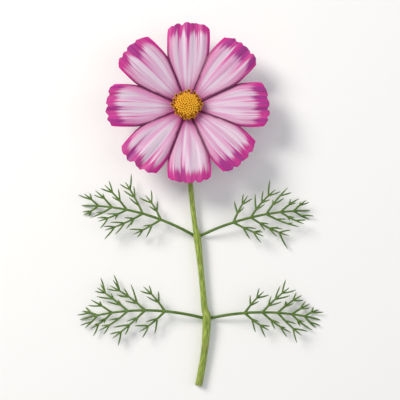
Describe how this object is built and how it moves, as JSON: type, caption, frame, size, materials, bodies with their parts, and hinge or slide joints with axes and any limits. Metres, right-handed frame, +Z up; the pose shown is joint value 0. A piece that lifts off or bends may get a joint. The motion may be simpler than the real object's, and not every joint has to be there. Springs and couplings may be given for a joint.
{
  "type": "cut cosmos flower",
  "caption": "Cut cosmos flower lying face up: an open head of broad notched ray petals round a small domed disc, on a slender stem with feathery opposite leaves.",
  "frame": {"origin": "on the surface that the flower lies on, below the middle of its bounding box", "axes": "+Z up out of the surface and out of the open face; +Y along the stem from its cut end towards the head; +X to the right, looking down with the head at the top"},
  "size_m": [0.1059, 0.1603, 0.0158],
  "materials": {
    "petal": "soft satin",
    "disc": "matte",
    "bract": "soft satin",
    "stem": "satin",
    "leaf": "soft satin"
  },
  "bodies": {
    "root": {"stem": "stem", "receptacle": "bract", "disc_florets_inner": "disc", "disc_florets_outer": "disc", "ray_petal_1": "petal", "ray_petal_2": "petal", "ray_petal_3": "petal", "ray_petal_4": "petal", "ray_petal_5": "petal", "ray_petal_6": "petal", "ray_petal_7": "petal", "ray_petal_8": "petal", "inner_bract_1": "bract", "inner_bract_2": "bract", "inner_bract_3": "bract", "inner_bract_4": "bract", "inner_bract_5": "bract", "inner_bract_6": "bract", "inner_bract_7": "bract", "inner_bract_8": "bract", "outer_bract_1": "bract", "outer_bract_2": "bract", "outer_bract_3": "bract", "outer_bract_4": "bract", "outer_bract_5": "bract", "outer_bract_6": "bract", "outer_bract_7": "bract", "outer_bract_8": "bract", "leaf_upper_right": "leaf", "leaf_upper_left": "leaf", "leaf_lower_right": "leaf", "leaf_lower_left": "leaf"}
  },
  "joints": []
}
